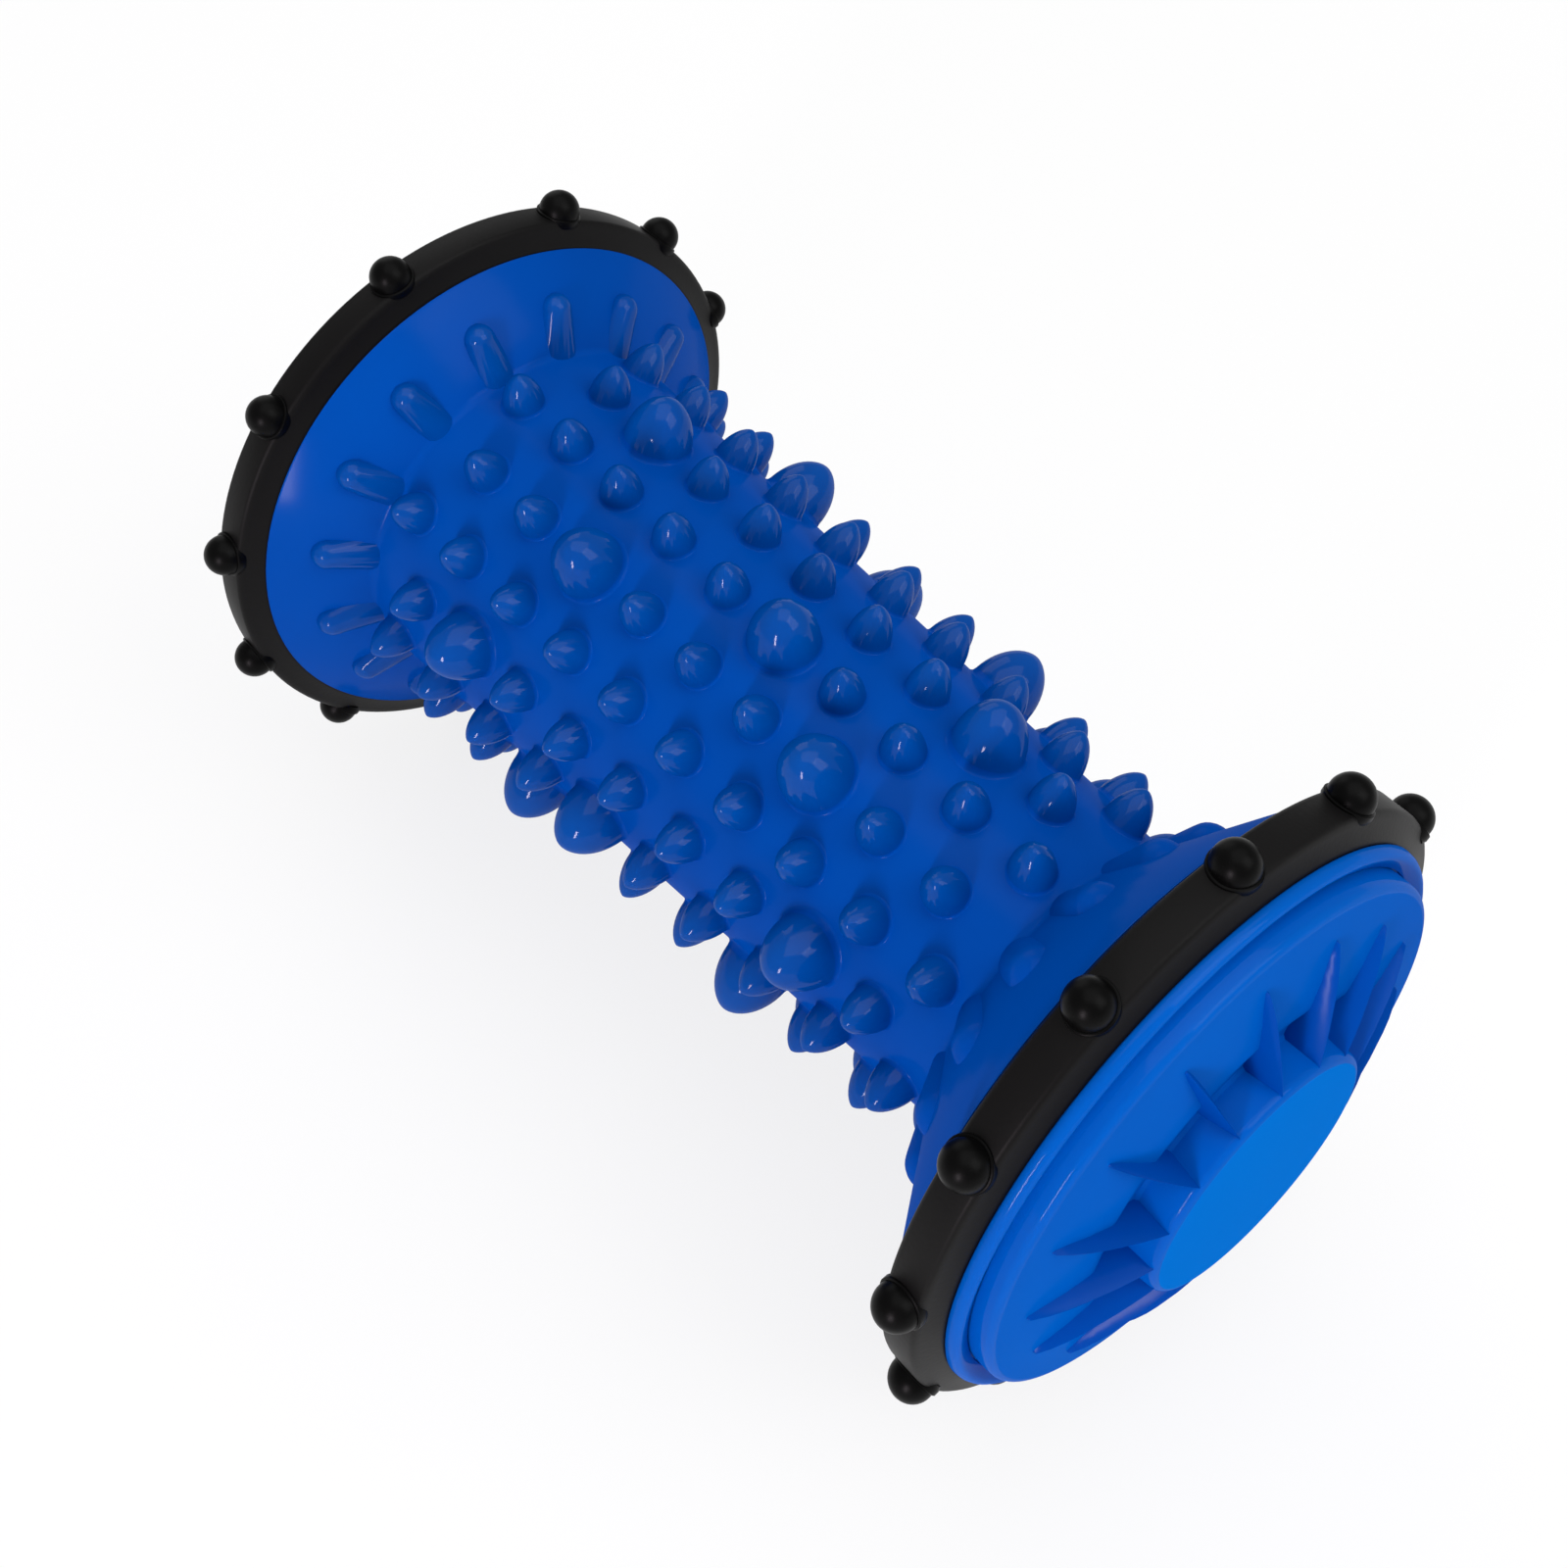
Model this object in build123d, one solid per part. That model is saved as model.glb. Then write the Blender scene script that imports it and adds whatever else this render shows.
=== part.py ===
from build123d import *
import math
import os

# Foot massage roller: a hollow PVC body with a nubbed barrel between two flared flanges, a pressed-in cap at
# each end and a rubber ring with ball nubs stretched over each rim.
# Millimetres. X runs along the roller, from the thick end of the barrel to the thin end. The roller lies on its
# rings, and the origin is on the floor under its middle.
# What repeats has few faces: nubs, fingers and balls are stacks of tapered prisms, and the barrel has a narrow
# flat under each row of nubs.

# Rims and rings
ring_offset = 67.3            # middle of the roller to the middle of a ring, along X
ring_foot_width = 7.4         # ring width where it leaves the rim
ring_top_width = 4.8          # ring width on its tread
ring_thickness = 3.4          # tread above the flange's edge
ring_fit = 0.05               # gap between ring and groove, all round
ring_clocking_front = -4.9    # angle of the first ball from straight down, degrees
ring_clocking_rear = 15.0
flange_radius = 38.6
groove_depth = 1.3
outer_lip_width = 1.7
outer_lip_drop = 1.1

# Balls on the rings
ball_slips_front = (0, 0, 0, 0, 1.4, 3.9, 2.4, 0.9, -1.6, -2.6, -0.6, 0)   # degrees off each ball's even place
ball_slips_rear = (0, 0, -1.8, -3.5, -6.5, -8, -1, 2, 1.5, 0, -0.9, 0)     # as the ring is stretched on
ball_sides = 6
ball_neck_radius = 2.0        # where a ball leaves the tread
ball_radius = 2.7
ball_widest_height = 0.9      # above the tread
ball_tip_radius = 1.3
ball_height = 3.3             # above the tread
ball_root = 1.0               # how far a ball reaches into the ring

# Barrel and flanges
wall = 2.6
barrel_radius_rear = 26.2     # from the axis to a flat, where the barrel meets the rear flange
barrel_radius_front = 20.7    # the same, where it meets the front flange
barrel_start = -55.8
barrel_end = 50.0
body_clocking = 28.0          # angle of the first row of nubs from straight up, degrees

# Nubs on the barrel
nub_rows = 16
nub_pitch = 10.65             # along a row; the next row is half a pitch over
nubs_in_long_row = 10
nub_sides = 6
nub_radius = 3.0
nub_shoulder_radius = 2.3
nub_shoulder_height = 3.0
nub_tip_radius = 0.8
nub_height = 5.2
big_nub_sides = 8
big_nub_radius = 4.9
big_nub_shoulder_radius = 3.8
big_nub_shoulder_height = 4.2
big_nub_tip_radius = 1.5
big_nub_height = 7.0
nub_root = 1.2                # how far a nub reaches into the wall

# Finger gussets in the corner of barrel and flange
finger_sides = 6
finger_radius = 2.6
finger_shoulder_radius = 2.2
finger_shoulder_length = 7.5
finger_tip_radius = 1.1
finger_length = 9.4
finger_lift = 0.3             # finger axis above the flange face

# End caps
cap_fit = 0.05                # gap between cap and lip, all round
cap_lip = 2.7                 # from the cap out to the flange's edge
cap_ledge = 2.5               # width of the ledge that the cap sits on
cap_seat = 1.2                # depth of the cap's seat in the outer lip
cap_edge_height = 4.0         # top of the cap's edge above the outer lip's root
cap_edge_bevel = 0.8
moat_outer_radius = 22.0
moat_depth = 1.1
dome_rise = 1.8               # from the cap's edge to the rim of the moat
boss_radius = 16.4
boss_height = 10.0            # above the outer lip's root
rib_count = 16
rib_reach = 30.0              # radius where a rib runs out on the dome
rib_thickness = 3.6           # at its foot, beside the boss

# Worked out from the sizes above
ring_inner_radius = flange_radius - groove_depth + ring_fit
ring_top_radius = flange_radius + ring_thickness
ball_tip_circle = ring_top_radius + ball_height
cap_radius = flange_radius - cap_lip
cavity_radius = cap_radius - cap_ledge
lip_root = ring_offset + ring_foot_width / 2
flange_edge = ring_offset - ring_foot_width / 2
seat_floor = lip_root + outer_lip_width - cap_seat
nub_middle = (barrel_start + barrel_end) / 2
row_angle = 360 / nub_rows
ball_angles_front = [
    ring_clocking_front + slip + index * 360 / len(ball_slips_front) for index, slip in enumerate(ball_slips_front)
]
ball_angles_rear = [
    ring_clocking_rear + slip + index * 360 / len(ball_slips_rear) for index, slip in enumerate(ball_slips_rear)
]
lowest_angle = math.radians(min(abs(math.remainder(angle, 360)) for angle in ball_angles_front + ball_angles_rear))
axis_height = ball_tip_circle * math.cos(lowest_angle) + ball_tip_radius * math.sin(lowest_angle)


def barrel_radius(x):
    """Distance from the axis to a flat of the tapering barrel, at a place along the roller."""
    share = (x - barrel_start) / (barrel_end - barrel_start)
    return barrel_radius_rear + (barrel_radius_front - barrel_radius_rear) * share


def revolve_profile(points):
    """Solid turned about the roller's axis from (x, radius) points."""
    return revolve(make_face(Polyline(*points, close=True)), Axis.X)


def tapered_prism(radius, top_radius, height, sides):
    """Prism along Z that narrows or widens upwards; its radii run to the middle of its flats."""
    if radius < top_radius:
        return Pos(0, 0, height) * Rot(X=180) * tapered_prism(top_radius, radius, height, sides)
    taper = math.degrees(math.atan2(radius - top_radius, height))
    return extrude(RegularPolygon(radius, sides, major_radius=False), height, taper=taper)


def blunt_spike(radii, heights, root, sides):
    """Spike along Z with a root below: a steep flank up to its shoulder, then a flatter one to its tip."""
    foot_radius, shoulder_radius, tip_radius = radii
    shoulder_height, tip_height = heights
    root_radius = foot_radius + (foot_radius - shoulder_radius) * root / shoulder_height
    flank = tapered_prism(root_radius, shoulder_radius, root + shoulder_height, sides)
    tip = tapered_prism(shoulder_radius, tip_radius, tip_height - shoulder_height, sides)
    return Pos(0, 0, -root) * flank + Pos(0, 0, shoulder_height) * tip


def along_roller(prism, x, direction):
    """Lay a prism that stands on Z along the roller from x, in the direction of +X (1) or -X (-1)."""
    return Pos(x, 0, 0) * Rot(Y=90 * direction) * Rot(Z=row_angle / 2) * prism


def make_end(side, foot_x):
    """One flange with its rim, ring groove, lip and cap seat, solid to the axis."""
    foot_radius = barrel_radius(foot_x)
    hidden = wall / 2
    hidden_x = foot_x + (foot_x - side * flange_edge) * hidden / (flange_radius - foot_radius)
    top = lip_root + outer_lip_width
    return revolve_profile(
        [
            (hidden_x, 0),
            (hidden_x, foot_radius - hidden),
            (side * flange_edge, flange_radius),
            (side * flange_edge, flange_radius - groove_depth),
            (side * lip_root, flange_radius - groove_depth),
            (side * lip_root, flange_radius),
            (side * top, flange_radius - outer_lip_drop),
            (side * top, cap_radius + cap_fit),
            (side * seat_floor, cap_radius + cap_fit),
            (side * seat_floor, 0),
        ]
    )


def make_barrel(start, end, inset):
    """Tapering barrel from start to end, with its flats moved inwards by the inset."""
    prism = tapered_prism(barrel_radius(start) - inset, barrel_radius(end) - inset, end - start, nub_rows)
    return along_roller(prism, start, 1)


def throat(side, foot_x):
    """Steepness of a flange, and where the cavity behind its wall starts to widen."""
    steepness = math.atan2(flange_radius - barrel_radius(foot_x), flange_edge - abs(foot_x))
    return steepness, foot_x + side * wall * math.tan(steepness / 2)


def make_funnel(side, foot_x):
    """Cavity behind one flange, from the barrel's bore out to the cap's seat."""
    steepness, throat_x = throat(side, foot_x)
    throat_radius = barrel_radius(throat_x) - wall
    depth = (cavity_radius - throat_radius) / math.tan(steepness)
    mouth_x = throat_x + side * depth
    cone = along_roller(tapered_prism(cavity_radius, throat_radius, depth, nub_rows), mouth_x, -side)
    mouth_depth = seat_floor - abs(mouth_x)
    mouth = extrude(RegularPolygon(cavity_radius, nub_rows, major_radius=False), mouth_depth)
    return cone + along_roller(mouth, side * seat_floor, -side)


def is_big(row, place):
    """Whether the nub at a place, counted in pitches from the middle of its row, is a big one."""
    turn = row % 4
    if turn == 0:
        return abs(place) == 2
    if turn == 2:
        return abs(place) == 3
    return turn == 3 and place == (0.5 if row % 8 == 7 else -0.5)


def nub_places(row):
    """Places of a row's nubs, in pitches from its middle: long rows and short rows take turns."""
    count = nubs_in_long_row - 1 + row % 2
    return [index - (count - 1) / 2 for index in range(count)]


def make_nubs():
    """All nubs of the barrel, standing on its flats."""
    small = blunt_spike(
        (nub_radius, nub_shoulder_radius, nub_tip_radius),
        (nub_shoulder_height, nub_height), nub_root, nub_sides,
    )
    big = blunt_spike(
        (big_nub_radius, big_nub_shoulder_radius, big_nub_tip_radius),
        (big_nub_shoulder_height, big_nub_height), nub_root, big_nub_sides,
    )
    nubs = []
    for row in range(nub_rows):
        for place in nub_places(row):
            x = nub_middle + place * nub_pitch
            kind = big if is_big(row, place) else small
            nubs.append(Rot(X=row * row_angle) * Pos(x, 0, barrel_radius(x)) * kind)
    return nubs


def make_fingers(side, foot_x):
    """Finger gussets up one flange, in line with the rows of nubs."""
    foot_radius = barrel_radius(foot_x)
    lean = math.degrees(math.atan2(side * flange_edge - foot_x, flange_radius - foot_radius))
    finger = blunt_spike(
        (finger_radius, finger_shoulder_radius, finger_tip_radius),
        (finger_shoulder_length, finger_length), nub_root, finger_sides,
    )
    finger = Pos(foot_x, 0, foot_radius) * Rot(Y=lean) * Pos(-side * finger_lift, 0, 0) * finger
    return [Rot(X=row * row_angle) * finger for row in range(nub_rows)]


def make_body():
    """Hollow body: barrel, flanges, ring grooves, cap seats, nubs and fingers."""
    body = make_barrel(barrel_start - wall, barrel_end + wall, 0)
    body += [make_end(-1, barrel_start), make_end(1, barrel_end)]
    body += make_nubs() + make_fingers(-1, barrel_start) + make_fingers(1, barrel_end)
    bore = make_barrel(throat(-1, barrel_start)[1], throat(1, barrel_end)[1], wall)
    return body - (bore + [make_funnel(-1, barrel_start), make_funnel(1, barrel_end)])


def make_rib(edge):
    """One rib of the front cap, from the top of the boss out to a point on the dome."""
    dome_slope = dome_rise / (cap_radius - cap_edge_bevel - moat_outer_radius)
    run_out = edge + (cap_radius - cap_edge_bevel - rib_reach) * dome_slope
    crest = lip_root + boss_height
    root = boss_radius - rib_thickness / 2
    section = make_face(
        Polyline((edge, -rib_thickness / 2, root), (crest, 0, root), (edge, rib_thickness / 2, root), close=True)
    )
    return loft([section, Vertex(run_out, 0, rib_reach)], ruled=True)


def make_cap():
    """Front cap: domed plate with a moat, a central boss and thin ribs round the boss."""
    edge = lip_root + cap_edge_height
    dome = edge + dome_rise
    face = lip_root + boss_height
    cap = revolve_profile(
        [
            (seat_floor, 0),
            (seat_floor, cap_radius),
            (edge - cap_edge_bevel, cap_radius),
            (edge, cap_radius - cap_edge_bevel),
            (dome, moat_outer_radius),
            (dome - moat_depth, boss_radius),
            (face, boss_radius),
            (face, 0),
        ]
    )
    cap += [Rot(X=index * 360 / rib_count) * make_rib(edge) for index in range(rib_count)]
    return cap


def make_ring(ball_angles):
    """Rubber ring at the middle of the roller, with a ball at each angle from straight down."""
    half_foot = ring_foot_width / 2 - ring_fit
    half_top = ring_top_width / 2
    ring = revolve_profile(
        [
            (-half_foot, ring_inner_radius),
            (-half_foot, flange_radius),
            (-half_top, ring_top_radius),
            (half_top, ring_top_radius),
            (half_foot, flange_radius),
            (half_foot, ring_inner_radius),
        ]
    )
    ball = blunt_spike(
        (ball_neck_radius, ball_radius, ball_tip_radius),
        (ball_widest_height, ball_height), ball_root, ball_sides,
    )
    ring += [Rot(X=180 + angle) * Pos(0, 0, ring_top_radius) * ball for angle in ball_angles]
    return ring


def save(name, solid):
    """Lift a finished piece to its height above the floor and write it."""
    export_step(Pos(0, 0, axis_height) * solid, f"parts/{name}.step")


os.makedirs("parts", exist_ok=True)
cap = make_cap()
save("body", Rot(X=body_clocking) * make_body())
save("front_cap", cap)
save("rear_cap", Rot(Z=180) * cap)
save("front_ring", Pos(ring_offset, 0, 0) * make_ring(ball_angles_front))
save("rear_ring", Pos(-ring_offset, 0, 0) * make_ring(ball_angles_rear))
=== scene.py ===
"""Looks of the foot massage roller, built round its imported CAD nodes.

Each sub-assembly is a class whose fields are its sizes in millimetres. Places come from the frame: the
height of the axis, the rings' places and the end faces are read from the CAD nodes' boxes. X runs along the
roller, and the pieces are turned about its axis.
"""

from __future__ import annotations

import logging
import math
from dataclasses import dataclass
from enum import Enum

import bpy
from mathutils import Matrix, Vector

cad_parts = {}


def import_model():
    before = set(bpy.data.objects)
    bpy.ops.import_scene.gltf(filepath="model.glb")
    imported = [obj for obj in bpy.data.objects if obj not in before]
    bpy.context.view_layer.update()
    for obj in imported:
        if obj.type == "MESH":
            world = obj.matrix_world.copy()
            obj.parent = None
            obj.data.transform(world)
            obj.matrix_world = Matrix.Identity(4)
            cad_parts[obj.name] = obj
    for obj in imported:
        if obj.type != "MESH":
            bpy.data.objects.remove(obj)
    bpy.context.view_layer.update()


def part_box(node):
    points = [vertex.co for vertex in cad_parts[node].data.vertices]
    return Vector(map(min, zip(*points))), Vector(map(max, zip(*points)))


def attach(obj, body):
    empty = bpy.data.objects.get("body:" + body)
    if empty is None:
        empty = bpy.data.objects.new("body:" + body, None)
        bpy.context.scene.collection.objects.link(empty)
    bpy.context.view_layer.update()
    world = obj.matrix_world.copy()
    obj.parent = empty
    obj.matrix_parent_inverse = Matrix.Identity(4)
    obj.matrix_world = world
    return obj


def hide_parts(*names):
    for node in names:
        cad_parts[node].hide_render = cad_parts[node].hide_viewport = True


LOG = logging.getLogger("foot_roller")
MM = 0.001

# How far each ball is off its even place, in degrees, as the rings are stretched on.
FRONT_SLIPS = (0, 0, 0, 0, 1.4, 3.9, 2.4, 0.9, -1.6, -2.6, -0.6, 0)
REAR_SLIPS = (0, 0, -1.8, -3.5, -6.5, -8, -1, 2, 1.5, 0, -0.9, 0)

# A triangle in a circle of radius 1 has its base this far below the centre, is this high, and reaches this
# far to either side.
TRIANGLE_BASE = 0.5
TRIANGLE_HEIGHT = 1.5
TRIANGLE_HALF = 0.866

Profile = list[tuple[float, float]]


class End(Enum):
    """The two ends of the roller, with the direction of each along X."""

    REAR = -1
    FRONT = 1


class Weld(Enum):
    """How the ends of a turned profile are closed."""

    POLES = "poles"
    LOOP = "loop"


# ---- modelling by hand


def clear_selection() -> None:
    """Deselect every object and leave edit mode."""
    if bpy.context.mode != "OBJECT":
        bpy.ops.object.mode_set(mode="OBJECT")
    bpy.ops.object.select_all(action="DESELECT")


def pick(*objects: bpy.types.Object) -> None:
    """Select only these objects and make the first one active.

    Args:
        objects: Objects to select.
    """
    clear_selection()
    for item in objects:
        item.select_set(True)
    bpy.context.view_layer.objects.active = objects[0]


def settle(piece: bpy.types.Object, smooth_angle: float) -> None:
    """Put a piece's place into its mesh, point its faces outwards and smooth its shading.

    Args:
        piece: The finished mesh object.
        smooth_angle: Edges sharper than this angle, in degrees, stay sharp.
    """
    pick(piece)
    bpy.ops.object.transform_apply(location=True, rotation=True, scale=True)
    bpy.ops.object.mode_set(mode="EDIT")
    bpy.ops.mesh.select_all(action="SELECT")
    bpy.ops.mesh.normals_make_consistent(inside=False)
    bpy.ops.object.mode_set(mode="OBJECT")
    bpy.ops.object.shade_smooth_by_angle(angle=math.radians(smooth_angle))


def turn(name: str, profile: Profile, segments: int, weld: Weld = Weld.POLES) -> bpy.types.Object:
    """Turn a profile about the X axis by extruding a ring from point to point.

    Args:
        name: Name of the new object.
        profile: Points as (place along X, radius), in millimetres.
        segments: Number of steps round the axis.
        weld: Poles when the profile starts and ends on the axis, a loop when it closes on itself.

    Returns:
        The new mesh object, with the axis through the world's origin.
    """
    clear_selection()
    points = profile[1:] if weld is Weld.POLES else profile + profile[:1]
    start_x, start_radius = points[0]
    bpy.ops.mesh.primitive_circle_add(
        vertices=segments,
        radius=start_radius * MM,
        location=(start_x * MM, 0, 0),
        rotation=(0, math.pi / 2, 0),
        fill_type="TRIFAN" if weld is Weld.POLES else "NOTHING",
    )
    piece = bpy.context.object
    piece.name = name
    bpy.ops.object.transform_apply(location=True, rotation=True, scale=True)
    bpy.ops.object.mode_set(mode="EDIT")
    bpy.ops.mesh.select_mode(type="EDGE")
    bpy.ops.mesh.select_all(action="SELECT")
    if weld is Weld.POLES:
        bpy.ops.mesh.region_to_loop()
    for (last_x, last_radius), (x, radius) in zip(points, points[1:]):
        bpy.ops.mesh.extrude_edges_move(TRANSFORM_OT_translate={"value": ((x - last_x) * MM, 0, 0)})
        if radius == 0:
            bpy.ops.mesh.merge(type="CENTER")
        elif radius != last_radius:
            share = radius / last_radius
            bpy.ops.transform.resize(value=(1, share, share), center_override=(x * MM, 0, 0))
    bpy.ops.mesh.select_all(action="SELECT")
    bpy.ops.mesh.remove_doubles(threshold=0.001 * MM)
    bpy.ops.object.mode_set(mode="OBJECT")
    return piece


def copies(master: bpy.types.Object, places: list[Matrix], name: str) -> bpy.types.Object:
    """Copy a master to each place, each copy with its own mesh, and join the copies.

    Args:
        master: The piece that is repeated. It is removed at the end.
        places: One world matrix for each copy.
        name: Name of the joined object.

    Returns:
        The joined object.
    """
    made = []
    for place in places:
        twin = master.copy()
        twin.data = master.data.copy()
        bpy.context.collection.objects.link(twin)
        twin.matrix_world = place @ master.matrix_world
        made.append(twin)
    bpy.data.objects.remove(master)
    pick(*made)
    bpy.ops.object.join()
    joined = bpy.context.object
    joined.name = name
    return joined


def arc(centre: tuple[float, float], radius: float, start: float, end: float, steps: int) -> Profile:
    """Points on an arc of a profile.

    Args:
        centre: Centre as (x, radius from the axis), in millimetres.
        radius: Radius of the arc.
        start: First angle in degrees, from +X towards the outside.
        end: Last angle in degrees.
        steps: Number of steps.

    Returns:
        The points, both ends included.
    """
    angles = [math.radians(start + (end - start) * index / steps) for index in range(steps + 1)]
    return [(centre[0] + radius * math.cos(a), centre[1] + radius * math.sin(a)) for a in angles]


# ---- places read from the frame


@dataclass
class Places:
    """Places and outer sizes of the CAD nodes, in millimetres."""

    axis_height: float
    ring_x: float
    ring_foot: float
    flange_radius: float
    lip_top: float
    cap_radius: float
    cap_floor: float
    boss_face: float

    @classmethod
    def from_frame(cls) -> Places:
        """Read the places from the boxes of the CAD nodes.

        Returns:
            The places in millimetres.
        """
        body_low, body_high = (Vector(corner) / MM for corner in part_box("body"))
        ring_low, ring_high = (Vector(corner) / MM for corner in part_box("front_ring"))
        cap_low, cap_high = (Vector(corner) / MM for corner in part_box("front_cap"))
        return cls(
            axis_height=(cap_low.z + cap_high.z) / 2,
            ring_x=(ring_low.x + ring_high.x) / 2,
            ring_foot=(ring_high.x - ring_low.x) / 2,
            flange_radius=(body_high.z - body_low.z) / 2,
            lip_top=body_high.x,
            cap_radius=(cap_high.y - cap_low.y) / 2,
            cap_floor=cap_low.x,
            boss_face=cap_high.x,
        )

    def lift(self) -> Matrix:
        """Matrix from the roller's own axis to its height above the floor."""
        return Matrix.Translation((0, 0, self.axis_height * MM))


# ---- finishes


def grain_group() -> bpy.types.NodeTree:
    """Node group that gives soft mottling and fine grain from Object coordinates.

    Returns:
        The group, with inputs Scale and Fineness and outputs Mottle and Height.
    """
    name = "MouldedGrain"
    if name in bpy.data.node_groups:
        return bpy.data.node_groups[name]
    group = bpy.data.node_groups.new(name, "ShaderNodeTree")
    for socket in ("Scale", "Fineness"):
        group.interface.new_socket(socket, in_out="INPUT", socket_type="NodeSocketFloat")
    for socket in ("Mottle", "Height"):
        group.interface.new_socket(socket, in_out="OUTPUT", socket_type="NodeSocketFloat")
    nodes, links = group.nodes, group.links
    entry = nodes.new("NodeGroupInput")
    leave = nodes.new("NodeGroupOutput")
    coordinates = nodes.new("ShaderNodeTexCoord")
    soft = nodes.new("ShaderNodeTexNoise")
    soft.inputs["Detail"].default_value = 2.0
    fine = nodes.new("ShaderNodeTexNoise")
    fine.inputs["Detail"].default_value = 4.0
    links.new(entry.outputs["Scale"], soft.inputs["Scale"])
    links.new(entry.outputs["Fineness"], fine.inputs["Scale"])
    links.new(coordinates.outputs["Object"], soft.inputs["Vector"])
    links.new(coordinates.outputs["Object"], fine.inputs["Vector"])
    links.new(soft.outputs["Fac"], leave.inputs["Mottle"])
    links.new(fine.outputs["Fac"], leave.inputs["Height"])
    return group


@dataclass(frozen=True)
class MouldedFinish:
    """A moulded finish: two close tones that mottle softly, a gloss and a fine grain.

    grain_depth is in millimetres. The two scales are steps of noise to the metre.
    """

    name: str
    deep_tone: tuple[float, float, float]
    light_tone: tuple[float, float, float]
    smooth_roughness: float
    worn_roughness: float
    specular: float
    coat: float
    mottle_scale: float
    grain_scale: float
    grain_depth: float

    def build(self) -> bpy.types.Material:
        """Make the material.

        Returns:
            The finished material.
        """
        material = bpy.data.materials.new(self.name)
        material.use_nodes = True
        nodes, links = material.node_tree.nodes, material.node_tree.links
        shader = nodes["Principled BSDF"]
        shader.inputs["Specular IOR Level"].default_value = self.specular
        shader.inputs["Coat Weight"].default_value = self.coat
        shader.inputs["Coat Roughness"].default_value = self.smooth_roughness
        grain = nodes.new("ShaderNodeGroup")
        grain.node_tree = grain_group()
        grain.inputs["Scale"].default_value = self.mottle_scale
        grain.inputs["Fineness"].default_value = self.grain_scale
        tone = nodes.new("ShaderNodeMix")
        tone.data_type = "RGBA"
        # A colour mix node has its colours A and B in sockets 6 and 7, and its result in output 2.
        tone.inputs[6].default_value = (*self.deep_tone, 1)
        tone.inputs[7].default_value = (*self.light_tone, 1)
        rough = nodes.new("ShaderNodeMapRange")
        rough.inputs["To Min"].default_value = self.smooth_roughness
        rough.inputs["To Max"].default_value = self.worn_roughness
        bump = nodes.new("ShaderNodeBump")
        bump.inputs["Distance"].default_value = self.grain_depth * MM
        links.new(grain.outputs["Mottle"], tone.inputs[0])
        links.new(tone.outputs[2], shader.inputs["Base Color"])
        links.new(grain.outputs["Mottle"], rough.inputs["Value"])
        links.new(rough.outputs["Result"], shader.inputs["Roughness"])
        links.new(grain.outputs["Height"], bump.inputs["Height"])
        links.new(bump.outputs["Normal"], shader.inputs["Normal"])
        return material


class Finishes:
    """The roller's finishes, each made once."""

    def __init__(self) -> None:
        """Make every finish."""
        self.barrel_vinyl = MouldedFinish(
            name="barrel_vinyl",
            deep_tone=(0.0, 0.054, 0.33),
            light_tone=(0.0, 0.067, 0.38),
            smooth_roughness=0.16,
            worn_roughness=0.3,
            specular=0.0,
            coat=0.06,
            mottle_scale=35,
            grain_scale=700,
            grain_depth=0.01,
        ).build()
        # Painted shade: the same blue PVC, darker than the barrel, for the nubs and the rear fingers; its
        # stronger gloss is real.
        self.nub_painted_shade_vinyl = MouldedFinish(
            name="nub_painted_shade_vinyl",
            deep_tone=(0.0, 0.050, 0.28),
            light_tone=(0.0, 0.069, 0.34),
            smooth_roughness=0.09,
            worn_roughness=0.2,
            specular=0.0,
            coat=0.26,
            mottle_scale=120,
            grain_scale=900,
            grain_depth=0.004,
        ).build()
        # Painted light: the cap is the same blue PVC as the barrel, given lighter tones for the light that
        # falls on it from the end lamp.
        self.cap_painted_light_vinyl = MouldedFinish(
            name="cap_painted_light_vinyl",
            deep_tone=(0.0, 0.080, 0.43),
            light_tone=(0.0, 0.110, 0.51),
            smooth_roughness=0.2,
            worn_roughness=0.3,
            specular=0.0,
            coat=0.03,
            mottle_scale=16,
            grain_scale=700,
            grain_depth=0.008,
        ).build()
        # Painted light: the same blue PVC, lighter than the barrel, for the lips and the cap's round edges
        # that face the lamps; its gloss is real.
        self.edge_painted_light_vinyl = MouldedFinish(
            name="edge_painted_light_vinyl",
            deep_tone=(0.0, 0.082, 0.43),
            light_tone=(0.0, 0.104, 0.49),
            smooth_roughness=0.06,
            worn_roughness=0.2,
            specular=0.0,
            coat=0.12,
            mottle_scale=30,
            grain_scale=700,
            grain_depth=0.004,
        ).build()
        # Painted light: the same blue PVC, much lighter, for the flat boss face and the rib crests that
        # face the end lamp.
        self.boss_and_crest_painted_light_vinyl = MouldedFinish(
            name="boss_and_crest_painted_light_vinyl",
            deep_tone=(0.0, 0.140, 0.56),
            light_tone=(0.0, 0.156, 0.60),
            smooth_roughness=0.2,
            worn_roughness=0.3,
            specular=0.0,
            coat=0.01,
            mottle_scale=30,
            grain_scale=700,
            grain_depth=0.006,
        ).build()
        self.ring_rubber = MouldedFinish(
            name="ring_rubber",
            deep_tone=(0.0022, 0.0022, 0.0023),
            light_tone=(0.0055, 0.005, 0.0051),
            smooth_roughness=0.42,
            worn_roughness=0.55,
            specular=0.1,
            coat=0.0,
            mottle_scale=60,
            grain_scale=1600,
            grain_depth=0.02,
        ).build()
        self.ball_rubber = MouldedFinish(
            name="ball_rubber",
            deep_tone=(0.0012, 0.0012, 0.0012),
            light_tone=(0.0025, 0.0025, 0.0025),
            smooth_roughness=0.3,
            worn_roughness=0.42,
            specular=0.06,
            coat=0.0,
            mottle_scale=90,
            grain_scale=1600,
            grain_depth=0.01,
        ).build()


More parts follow.
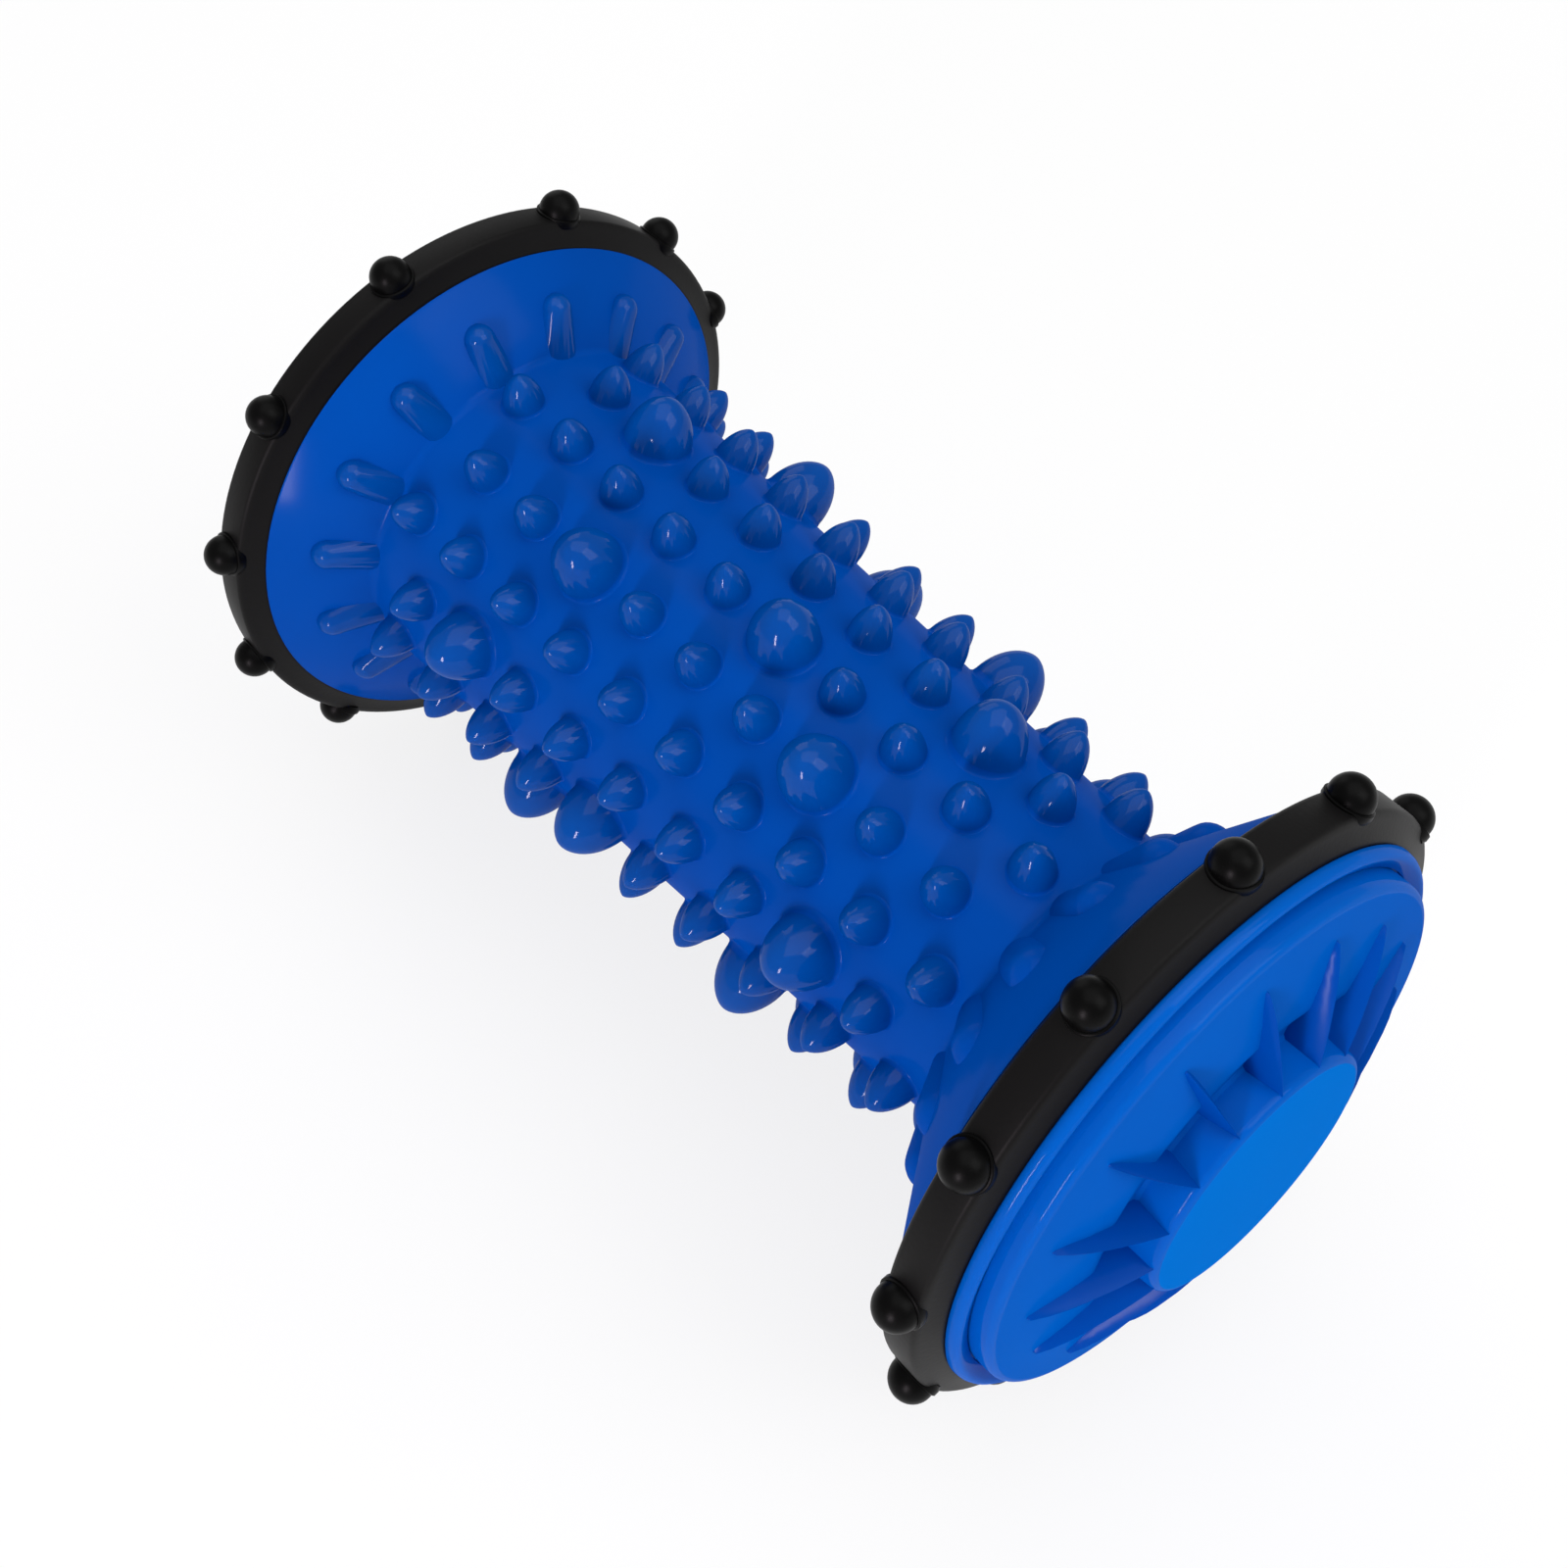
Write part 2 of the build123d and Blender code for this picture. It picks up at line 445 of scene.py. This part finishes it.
def dress(piece: bpy.types.Object, finish: bpy.types.Material | None) -> None:
    """Give a piece its finish, let it ride on the one body, and report it.

    Args:
        piece: The piece.
        finish: Its material, or None to keep the finishes that it has.
    """
    if finish is not None:
        piece.data.materials.clear()
        piece.data.materials.append(finish)
    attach(piece, "root")
    LOG.info("%s: %d faces", piece.name, len(piece.data.polygons))


# ---- sub-assemblies


@dataclass
class Nub:
    """One nub: a soft skirt where it meets the barrel and a swelling flank up to a blunt tip.

    The flank narrows as (1 - share of the height ** rise) ** (1 / fullness).
    """

    radius: float
    height: float
    skirt: float
    rise: float
    fullness: float
    segments: int
    rings: int
    root: float = 0.9
    bite: float = 0.03

    def skirt_rings(self) -> Profile:
        """Heights above the wall and radii of the skirt's rings, on a hollow quarter round."""
        turns = [math.radians(angle) for angle in (0, 28, 56)]
        return [
            (self.skirt * (1 - math.cos(turn_by)), self.radius + self.skirt * (1 - math.sin(turn_by)))
            for turn_by in turns
        ]

    def profile(self) -> Profile:
        """Points from the root up to the tip.

        Returns:
            Points as (height above the barrel, radius).
        """
        root = [(-self.root, 0), (-self.root, self.radius + self.skirt)]
        flank = []
        for index in range(self.rings):
            share = math.sin(math.pi / 2 * index / self.rings)
            height = self.skirt + (self.height - self.skirt) * share
            width = (1 - (height / self.height) ** self.rise) ** (1 / self.fullness)
            flank.append((height, self.radius * width))
        return root + self.skirt_rings() + flank + [(self.height, 0)]

    def build(self, name: str, finishes: Finishes) -> bpy.types.Object:
        """Model the nub, pointing along X, with a vertex group for each ring of its skirt.

        Args:
            name: Name of the object.
            finishes: The roller's finishes. The skirt takes the barrel's.

        Returns:
            The nub.
        """
        nub = turn(name, self.profile(), self.segments)
        for index, (height, _) in enumerate(self.skirt_rings()):
            group = nub.vertex_groups.new(name=f"skirt_{index}")
            level = [v.index for v in nub.data.vertices if abs(v.co.x - height * MM) < 0.01 * MM]
            group.add(level, 1.0, "REPLACE")
        # Painted shade: the nub takes the darker nub tones, while its skirt keeps the barrel's.
        nub.data.materials.append(finishes.nub_painted_shade_vinyl)
        nub.data.materials.append(finishes.barrel_vinyl)
        for face in nub.data.polygons:
            face.material_index = int(face.center.x < self.skirt * 0.95 * MM)
        return nub

    def seat(self, nubs: bpy.types.Object, wall: bpy.types.Object) -> None:
        """Lay the skirts of all copies on the wall below them.

        Args:
            nubs: The joined copies.
            wall: The piece that they stand on.
        """
        pick(nubs)
        for index, (height, _) in enumerate(self.skirt_rings()):
            wrap = nubs.modifiers.new(f"skirt_{index}", "SHRINKWRAP")
            wrap.target = wall
            wrap.wrap_method = "NEAREST_SURFACEPOINT"
            wrap.wrap_mode = "ABOVE_SURFACE"
            wrap.offset = (height - self.bite) * MM
            wrap.vertex_group = f"skirt_{index}"
            bpy.ops.object.modifier_apply(modifier=wrap.name)
        nubs.vertex_groups.clear()


@dataclass
class Finger:
    """One finger gusset: a round-headed peg that rises out of the flange from its foot to its head.

    sink is how deep its axis lies under the flange at the foot, and rise how high it stands at the head.
    """

    foot_radius: float
    head_radius: float
    length: float
    sink: float
    rise: float
    root: float = 4.5
    segments: int = 24

    def profile(self) -> Profile:
        """Profile from the hidden root to the head.

        Returns:
            Points as (distance up the flange, radius).
        """
        points = [(-self.root, 0), (-self.root, self.foot_radius), (0.0, self.foot_radius)]
        points += arc((self.length - self.head_radius, 0), self.head_radius, 86, 0, 8)[:-1]
        return points + [(self.length, 0)]


@dataclass
class Body:
    """Body moulding: tapering barrel, two flanges with lips, nubs and finger gussets.

    clocking is the angle from the top to the first row of nubs, in degrees.
    """

    places: Places
    finishes: Finishes
    rear_finger: Finger
    front_finger: Finger
    barrel_radius_rear: float = 26.4
    barrel_radius_front: float = 20.9
    barrel_start: float = -55.8
    barrel_end: float = 50.0
    clocking: float = 28.0
    rows: int = 16
    pitch: float = 10.65
    long_row: int = 10
    corner_radius: float = 0.9
    groove_depth: float = 1.2
    segments: int = 160

    def barrel_radius(self, x: float) -> float:
        """Radius of the round barrel at a place along X."""
        share = (x - self.barrel_start) / (self.barrel_end - self.barrel_start)
        return self.barrel_radius_rear + (self.barrel_radius_front - self.barrel_radius_rear) * share

    def taper(self) -> float:
        """Angle of the barrel's surface against its axis, in radians."""
        return math.atan2(
            self.barrel_radius_rear - self.barrel_radius_front, self.barrel_end - self.barrel_start
        )

    def end_profile(self, end: End) -> Profile:
        """Profile of one end, from the pole behind the cap to the foot of the flange.

        Args:
            end: Which end.

        Returns:
            Points as (x, radius).
        """
        p = self.places
        side = end.value
        top = p.lip_top
        inner = p.ring_x - p.ring_foot
        outer = p.ring_x + p.ring_foot
        foot_x = self.barrel_start if end is End.REAR else self.barrel_end
        foot_radius = self.barrel_radius(foot_x)
        rim = p.flange_radius
        seam = p.cap_radius + 0.12
        points = [
            (p.cap_floor, 0),
            (p.cap_floor, seam),
            (top - 0.75, seam),
            (top - 0.62, seam + 0.3),
            (top - 0.42, seam + 0.75),
            (top - 0.18, seam + 1.2),
            (top - 0.05, seam + 1.55),
            (top - 0.08, rim - 0.75),
            (top - 0.35, rim - 0.4),
            (top - 0.8, rim - 0.15),
            (outer + 0.25, rim - 0.05),
            (outer + 0.02, rim - 0.25),
            (outer + 0.02, rim - self.groove_depth),
            (inner - 0.02, rim - self.groove_depth),
            (inner - 0.02, rim - 0.2),
            (inner - 0.12, rim - 0.03),
            (inner - 0.35, rim - 0.12),
        ]
        points = [(side * x, radius) for x, radius in points]
        last_x, last_radius = points[-1]
        run = math.hypot(foot_x - last_x, foot_radius - last_radius)
        for cut in (self.corner_radius, self.corner_radius * 0.45):
            share = 1 - cut / run
            x = last_x + (foot_x - last_x) * share
            points.append((x, last_radius + (foot_radius - last_radius) * share))
        near = foot_x - side * self.corner_radius * 0.45
        far = foot_x - side * self.corner_radius
        points.append((near, self.barrel_radius(near) + 0.06))
        points.append((far, self.barrel_radius(far)))
        return points

    def build_shell(self) -> bpy.types.Object:
        """Model the barrel with both flanges and lips as one closed turned piece.

        Returns:
            The shell.
        """
        rear = self.end_profile(End.REAR)
        front = self.end_profile(End.FRONT)
        middle = [(x, self.barrel_radius(x)) for x in (-40.0, -20.0, 0.0, 20.0, 35.0)]
        shell = turn("barrel_and_flanges", rear + middle + front[::-1], self.segments)
        shell.matrix_world = self.places.lift()
        settle(shell, 50)
        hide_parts("body")
        dress(shell, self.finishes.barrel_vinyl)
        # Painted light: the lips outside the rings take the lighter edge tones, though they are the same
        # PVC as the barrel.
        shell.data.materials.append(self.finishes.edge_painted_light_vinyl)
        lip_start = (self.places.ring_x + self.places.ring_foot) * MM
        for face in shell.data.polygons:
            face.material_index = int(abs(face.center.x) > lip_start)
        return shell

    def is_big(self, row: int, place: float) -> bool:
        """Whether the nub at a place, in pitches from the middle of its row, is a big one.

        The pattern repeats every four rows: two big nubs two pitches out, none, two big nubs three pitches
        out, and one beside the middle, on either side by turns.
        """
        part = row % 4
        if part == 0:
            return abs(place) == 2
        if part == 2:
            return abs(place) == 3
        return part == 3 and place == (0.5 if row % 8 == 7 else -0.5)

    def nub_places(self, big: bool) -> list[Matrix]:
        """Places of the small or the big nubs.

        Args:
            big: Whether the big ones are wanted.

        Returns:
            One matrix for each nub.
        """
        middle = (self.barrel_start + self.barrel_end) / 2
        stand = Matrix.Rotation(-math.pi / 2 + self.taper(), 4, "Y")
        found = []
        for row in range(self.rows):
            count = self.long_row - 1 + row % 2
            spin = Matrix.Rotation(math.radians(self.clocking + row * 360 / self.rows), 4, "X")
            for index in range(count):
                place = index - (count - 1) / 2
                if self.is_big(row, place) != big:
                    continue
                x = middle + place * self.pitch
                at = Matrix.Translation((x * MM, 0, self.barrel_radius(x) * MM))
                found.append(self.places.lift() @ spin @ at @ stand)
        return found

    def build_nubs(self, shell: bpy.types.Object) -> None:
        """Model one small and one big nub and copy them over the barrel.

        Args:
            shell: The barrel that they stand on.
        """
        small = Nub(radius=2.85, height=5.2, skirt=0.4, rise=1.9, fullness=1.6, segments=32, rings=11)
        big = Nub(radius=4.65, height=7.0, skirt=0.6, rise=2.0, fullness=1.8, segments=48, rings=14)
        for kind, shape, name in ((False, small, "small_nubs"), (True, big, "big_nubs")):
            nubs = copies(shape.build(name + "_master", self.finishes), self.nub_places(kind), name)
            settle(nubs, 60)
            shape.seat(nubs, shell)
            dress(nubs, None)

    def build_fingers(self, end: End) -> None:
        """Model a finger and set it round one flange, in line with the rows of nubs.

        Each finger leans out of the flange, so that it rises from its foot to its head.

        Args:
            end: Which flange.
        """
        side = end.value
        foot_x = self.barrel_start if end is End.REAR else self.barrel_end
        edge = side * (self.places.ring_x - self.places.ring_foot)
        foot_radius = self.barrel_radius(foot_x)
        lean = math.atan2(edge - foot_x, self.places.flange_radius - foot_radius)
        finger = self.rear_finger if end is End.REAR else self.front_finger
        tilt = math.atan2(finger.sink + finger.rise, finger.length - finger.head_radius)
        name = f"{end.name.lower()}_fingers"
        one = turn(name + "_master", finger.profile(), finger.segments)
        at = Matrix.Translation((foot_x * MM, 0, foot_radius * MM))
        stand = Matrix.Rotation(lean - math.pi / 2, 4, "Y")
        drop = Matrix.Translation((0, 0, -side * finger.sink * MM))
        swing = Matrix.Rotation(-side * tilt, 4, "Y")
        places = []
        for row in range(self.rows):
            spin = Matrix.Rotation(math.radians(self.clocking + row * 360 / self.rows), 4, "X")
            places.append(self.places.lift() @ spin @ at @ stand @ drop @ swing)
        fingers = copies(one, places, name)
        settle(fingers, 60)
        # Painted shade: the rear fingers take the darker nub tones, while the front ones keep the barrel's.
        finish = self.finishes.nub_painted_shade_vinyl if end is End.REAR else self.finishes.barrel_vinyl
        dress(fingers, finish)

    def build(self) -> None:
        """Build the whole moulding."""
        shell = self.build_shell()
        self.build_nubs(shell)
        for end in End:
            self.build_fingers(end)


@dataclass
class Cap:
    """End cap: a domed plate with a round edge, a moat, a soft-edged boss and thin ribs.

    Each rib station is (distance from the axis, height of the crest along X, half width at the base). The
    faces of a rib that look along X by more than crest_facing are its crest, painted paler than its sides:
    the crest takes painted light and the sides painted shade.
    """

    places: Places
    finishes: Finishes
    end: End
    edge_height: float = 75.0
    edge_round: float = 1.0
    dome_rise: float = 1.8
    moat_radius: float = 22.0
    moat_depth: float = 1.1
    boss_face_radius: float = 15.9
    boss_foot_radius: float = 17.4
    boss_round: float = 1.1
    rib_count: int = 16
    rib_base: float = 74.8
    rib_stations: tuple[tuple[float, float, float], ...] = (
        (15.0, 80.8, 1.2),
        (17.0, 80.75, 1.2),
        (19.0, 80.3, 1.2),
        (21.0, 79.8, 1.2),
        (23.0, 79.2, 1.15),
        (25.0, 78.6, 1.1),
        (27.0, 77.9, 0.95),
        (29.0, 77.05, 0.75),
        (31.0, 76.0, 0.35),
    )
    crest_bevel: float = 0.28
    crest_facing: float = 0.75
    segments: int = 144

    def profile(self) -> Profile:
        """Profile from the pole behind the plate to the pole on the boss.

        Returns:
            Points as (x, radius).
        """
        p = self.places
        edge = self.edge_height
        dome = edge + self.dome_rise
        floor = dome - self.moat_depth
        face = p.boss_face
        bend = self.edge_round
        skin = p.cap_radius - 0.05
        points = [(p.cap_floor, 0), (p.cap_floor, skin), (p.cap_floor + 1.0, skin)]
        points += arc((edge - bend, p.cap_radius - 0.1 - bend), bend, 88, 4, 7)
        points += [(edge + 0.04, p.cap_radius - 1.8), (edge + 0.13, p.cap_radius - 2.6)]
        points += [(edge + 0.24, p.cap_radius - 3.4), (edge + 0.5, p.cap_radius - 5.2)]
        points += [(dome - 0.42, self.moat_radius + 4.0), (dome - 0.06, self.moat_radius + 1.0)]
        points += [(dome - 0.04, self.moat_radius + 0.3), (dome - 0.22, self.moat_radius - 0.4)]
        points += [(floor + 0.2, self.moat_radius - 2.2), (floor + 0.02, self.moat_radius - 3.0)]
        points += [(floor + 0.06, self.boss_foot_radius + 0.5), (floor + 0.45, self.boss_foot_radius)]
        points += arc((face - self.boss_round, self.boss_face_radius), self.boss_round, 84, 0, 7)
        return points + [(face, 0)]

    def build_plate(self) -> None:
        """Model the plate and its boss."""
        side = self.end.value
        profile = [(side * x, radius) for x, radius in self.profile()]
        plate = turn(f"{self.end.name.lower()}_cap_plate", profile, self.segments)
        plate.matrix_world = self.places.lift()
        settle(plate, 35)
        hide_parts(f"{self.end.name.lower()}_cap")
        # Painted light: the plate takes lighter tones than the barrel, for the end lamp's light.
        dress(plate, self.finishes.cap_painted_light_vinyl)
        plate.data.materials.append(self.finishes.boss_and_crest_painted_light_vinyl)
        plate.data.materials.append(self.finishes.edge_painted_light_vinyl)
        lift = self.places.axis_height
        # Painted light: the flat boss face takes the lightest tones, and the plate's outer edge and the
        # boss's round edge take the lighter edge tones, though all are the same PVC.
        for face in plate.data.polygons:
            height = face.center.x * side / MM
            out = math.hypot(face.center.y / MM, face.center.z / MM - lift)
            if height > self.places.boss_face - 0.02:
                face.material_index = 1
            elif out > self.places.cap_radius - 1.4 or height > self.places.boss_face - self.boss_round:
                face.material_index = 2

    def build_ribs(self) -> None:
        """Model one thin rib, widest at the boss, and set it round the boss."""
        clear_selection()
        side = self.end.value
        stations = self.rib_stations
        base = side * self.rib_base * MM
        first_out, first_crest, half = stations[0]
        bpy.ops.mesh.primitive_circle_add(
            vertices=3,
            radius=1.0 * MM,
            location=(base + side * TRIANGLE_BASE * MM, 0, first_out * MM),
            rotation=(0, 0, -side * math.pi / 2),
            fill_type="NGON",
        )
        rib = bpy.context.object
        rib.name = f"{self.end.name.lower()}_rib_master"
        bpy.ops.object.transform_apply(location=True, rotation=True, scale=True)
        bpy.ops.object.mode_set(mode="EDIT")
        bpy.ops.mesh.select_mode(type="EDGE")
        bpy.ops.mesh.select_all(action="SELECT")
        height = first_crest - self.rib_base
        bpy.ops.transform.resize(
            value=(height / TRIANGLE_HEIGHT, half / TRIANGLE_HALF, 1),
            center_override=(base, 0, first_out * MM),
        )
        bpy.ops.mesh.region_to_loop()
        last_out = first_out
        for out, crest, new_half in stations[1:]:
            bpy.ops.mesh.extrude_edges_move(TRANSFORM_OT_translate={"value": (0, 0, (out - last_out) * MM)})
            new_height = crest - self.rib_base
            bpy.ops.transform.resize(
                value=(new_height / height, new_half / half, 1), center_override=(base, 0, out * MM)
            )
            last_out = out
            height, half = new_height, new_half
        bpy.ops.mesh.edge_face_add()
        bpy.ops.object.mode_set(mode="OBJECT")
        crest = rib.modifiers.new("crest", "BEVEL")
        crest.width = self.crest_bevel * MM
        crest.segments = 2
        crest.limit_method = "ANGLE"
        crest.angle_limit = math.radians(40)
        bpy.ops.object.modifier_apply(modifier=crest.name)
        places = []
        for index in range(self.rib_count):
            spin = Matrix.Rotation(index * 2 * math.pi / self.rib_count, 4, "X")
            places.append(self.places.lift() @ spin)
        ribs = copies(rib, places, f"{self.end.name.lower()}_cap_ribs")
        settle(ribs, 50)
        # Painted shade and painted light: the rib sides take the darker barrel tones and the crests the
        # lightest boss tones.
        dress(ribs, self.finishes.barrel_vinyl)
        ribs.data.materials.append(self.finishes.boss_and_crest_painted_light_vinyl)
        for face in ribs.data.polygons:
            if abs(face.normal.x) > self.crest_facing:
                face.material_index = 1

    def build(self) -> None:
        """Build the plate and the ribs."""
        self.build_plate()
        self.build_ribs()


@dataclass
class BallRing:
    """Rubber ring with a bevelled tread and ball nubs on low collars.

    clocking is the angle from the bottom to the first ball, in degrees.
    """

    places: Places
    finishes: Finishes
    end: End
    clocking: float
    slips: tuple[float, ...]
    tread_radius: float = 42.0
    tread_half: float = 2.4
    ball_radius: float = 2.8
    ball_lift: float = 0.5
    collar_radius: float = 3.1
    collar_height: float = 0.25
    ball_segments: int = 32
    segments: int = 160

    def build_tread(self) -> None:
        """Model the ring's band."""
        p = self.places
        middle = self.end.value * p.ring_x
        foot = p.ring_foot - 0.01
        rim = p.flange_radius
        half = [
            (foot, rim - 1.15),
            (foot, rim + 0.05),
            (foot - 0.12, rim + 0.35),
            (foot - 0.55, rim + 1.2),
            (self.tread_half + 0.28, self.tread_radius - 0.95),
            (self.tread_half + 0.1, self.tread_radius - 0.4),
            (self.tread_half - 0.15, self.tread_radius - 0.1),
            (self.tread_half - 0.5, self.tread_radius),
        ]
        loop = [(middle + x, radius) for x, radius in half]
        loop += [(middle - x, radius) for x, radius in reversed(half)]
        band = turn(f"{self.end.name.lower()}_ring_band", loop, self.segments, Weld.LOOP)
        band.matrix_world = p.lift()
        settle(band, 35)
        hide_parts(f"{self.end.name.lower()}_ring")
        dress(band, self.finishes.ring_rubber)

    def build_balls(self) -> None:
        """Model one ball with its collar and set it round the tread."""
        collar = self.collar_height
        neck = math.degrees(math.asin((self.ball_lift - collar) / self.ball_radius))
        profile = [
            (-1.0, 0),
            (-1.0, self.collar_radius - 0.2),
            (-0.5, self.collar_radius),
            (collar * 0.5, self.collar_radius - 0.03),
            (collar, self.collar_radius - 0.2),
        ]
        ball = arc((self.ball_lift, 0), self.ball_radius, 90 + neck, 0, 12)[:-1]
        profile += ball + [(self.ball_lift + self.ball_radius, 0)]
        one = turn(f"{self.end.name.lower()}_ball_master", profile, self.ball_segments)
        stand = Matrix.Rotation(-math.pi / 2, 4, "Y")
        at = Matrix.Translation((self.end.value * self.places.ring_x * MM, 0, self.tread_radius * MM))
        places = []
        for index, slip in enumerate(self.slips):
            angle = 180 + self.clocking + slip + index * 360 / len(self.slips)
            spin = Matrix.Rotation(math.radians(angle), 4, "X")
            places.append(self.places.lift() @ spin @ at @ stand)
        balls = copies(one, places, f"{self.end.name.lower()}_ring_balls")
        settle(balls, 50)
        dress(balls, self.finishes.ball_rubber)

    def build(self) -> None:
        """Build the band and the balls."""
        self.build_tread()
        self.build_balls()


# ---- studio


@dataclass
class Studio:
    """Pale floor, soft lamps and the camera at the photograph's viewing angle.

    The camera's place is in millimetres and its angles in degrees. The floor and the lamps are in metres.
    """

    places: Places
    camera_from_axis: tuple[float, float, float] = (132.4, -112.8, 215.3)
    camera_angles: tuple[float, float, float] = (44.221, -1.076, 48.572)
    lens: float = 48.516
    shift: tuple[float, float] = (-0.0353, -0.1508)
    sensor_width: float = 36.0
    floor_size: float = 30.0
    floor_place: tuple[float, float, float] = (0, 0, -0.0002)
    floor_whiteness: float = 0.8
    room_light: float = 0.42

    def build_floor(self) -> None:
        """Lay the pale floor, white where the camera sees it."""
        clear_selection()
        bpy.ops.mesh.primitive_plane_add(size=self.floor_size, location=self.floor_place)
        floor = bpy.context.object
        floor.name = "studio_floor"
        material = bpy.data.materials.new("pale_floor")
        material.use_nodes = True
        nodes, links = material.node_tree.nodes, material.node_tree.links
        shader = nodes["Principled BSDF"]
        shader.inputs["Base Color"].default_value = (0.94, 0.94, 0.94, 1)
        shader.inputs["Roughness"].default_value = 0.9
        shader.inputs["Specular IOR Level"].default_value = 0.1
        white = nodes.new("ShaderNodeEmission")
        white.inputs["Color"].default_value = (1, 1, 1, 1)
        rays = nodes.new("ShaderNodeLightPath")
        seen = None
        for ray in ("Is Camera Ray", "Is Glossy Ray", "Is Transmission Ray"):
            share = nodes.new("ShaderNodeMath")
            share.operation = "MULTIPLY_ADD"
            share.inputs[1].default_value = self.floor_whiteness
            share.inputs[2].default_value = 0.0
            links.new(rays.outputs[ray], share.inputs[0])
            if seen is not None:
                links.new(seen, share.inputs[2])
            seen = share.outputs[0]
        blend = nodes.new("ShaderNodeMixShader")
        links.new(seen, blend.inputs[0])
        links.new(shader.outputs[0], blend.inputs[1])
        links.new(white.outputs[0], blend.inputs[2])
        links.new(blend.outputs[0], nodes["Material Output"].inputs["Surface"])
        floor.data.materials.append(material)

    def build_world(self) -> None:
        """Fill the room with a little pale light."""
        world = bpy.data.worlds.new("studio_world")
        bpy.context.scene.world = world
        world.use_nodes = True
        back = world.node_tree.nodes["Background"]
        back.inputs["Color"].default_value = (1, 1, 1, 1)
        back.inputs["Strength"].default_value = self.room_light

    def lamp(
        self,
        name: str,
        at: tuple[float, float, float],
        size: tuple[float, float],
        power: float,
        tint: tuple[float, float, float] = (1.0, 1.0, 1.0),
    ) -> None:
        """Hang one rectangular lamp that looks at the roller.

        Args:
            name: Name of the lamp.
            at: Its place in metres.
            size: Its width and height in metres.
            power: Its power in watts.
            tint: Its colour.
        """
        data = bpy.data.lights.new(name, "AREA")
        data.shape = "RECTANGLE"
        data.size, data.size_y = size
        data.energy = power
        data.color = tint
        lamp = bpy.data.objects.new(name, data)
        bpy.context.collection.objects.link(lamp)
        lamp.location = at
        aim = Vector((0, 0, self.places.axis_height * MM)) - Vector(at)
        lamp.rotation_euler = aim.to_track_quat("-Z", "Y").to_euler()

    def build_camera(self) -> None:
        """Set up the camera."""
        data = bpy.data.cameras.new("studio_camera")
        data.lens = self.lens
        data.sensor_width = self.sensor_width
        data.shift_x, data.shift_y = self.shift
        data.clip_start = 0.01
        camera = bpy.data.objects.new("studio_camera", data)
        bpy.context.collection.objects.link(camera)
        x, y, z = self.camera_from_axis
        camera.location = (x * MM, y * MM, (z + self.places.axis_height) * MM)
        camera.rotation_euler = [math.radians(angle) for angle in self.camera_angles]
        bpy.context.scene.camera = camera

    def build(self) -> None:
        """Build floor, world, lamps and camera."""
        self.build_floor()
        self.build_world()
        self.lamp("overhead_softbox", at=(0.1, 0.1, 1.5), size=(1.6, 1.6), power=11.0)
        self.lamp("end_softbox", at=(1.0, 0.4, 1.05), size=(0.9, 0.9), power=6.8)
        self.lamp("strip_light", at=(0.4, -0.92, 0.2), size=(0.1, 0.36), power=5.2, tint=(1.0, 0.88, 0.96))
        self.lamp("rear_softbox", at=(-1.3, 0.5, 0.8), size=(0.9, 0.9), power=3.0)
        self.build_camera()
        bpy.context.scene.view_settings.view_transform = "Standard"


def main() -> None:
    """Build the roller and its studio."""
    logging.basicConfig(level=logging.INFO, format="%(name)s %(message)s")
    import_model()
    places = Places.from_frame()
    finishes = Finishes()
    rear_finger = Finger(foot_radius=3.3, head_radius=2.15, length=9.3, sink=2.6, rise=0.3)
    front_finger = Finger(foot_radius=4.0, head_radius=3.2, length=10.2, sink=3.2, rise=-1.4)
    Body(places, finishes, rear_finger, front_finger).build()
    for end in End:
        Cap(places, finishes, end).build()
    BallRing(places, finishes, End.REAR, clocking=15.0, slips=REAR_SLIPS).build()
    BallRing(places, finishes, End.FRONT, clocking=-4.9, slips=FRONT_SLIPS).build()
    Studio(places).build()


if __name__ == "__main__":
    main()
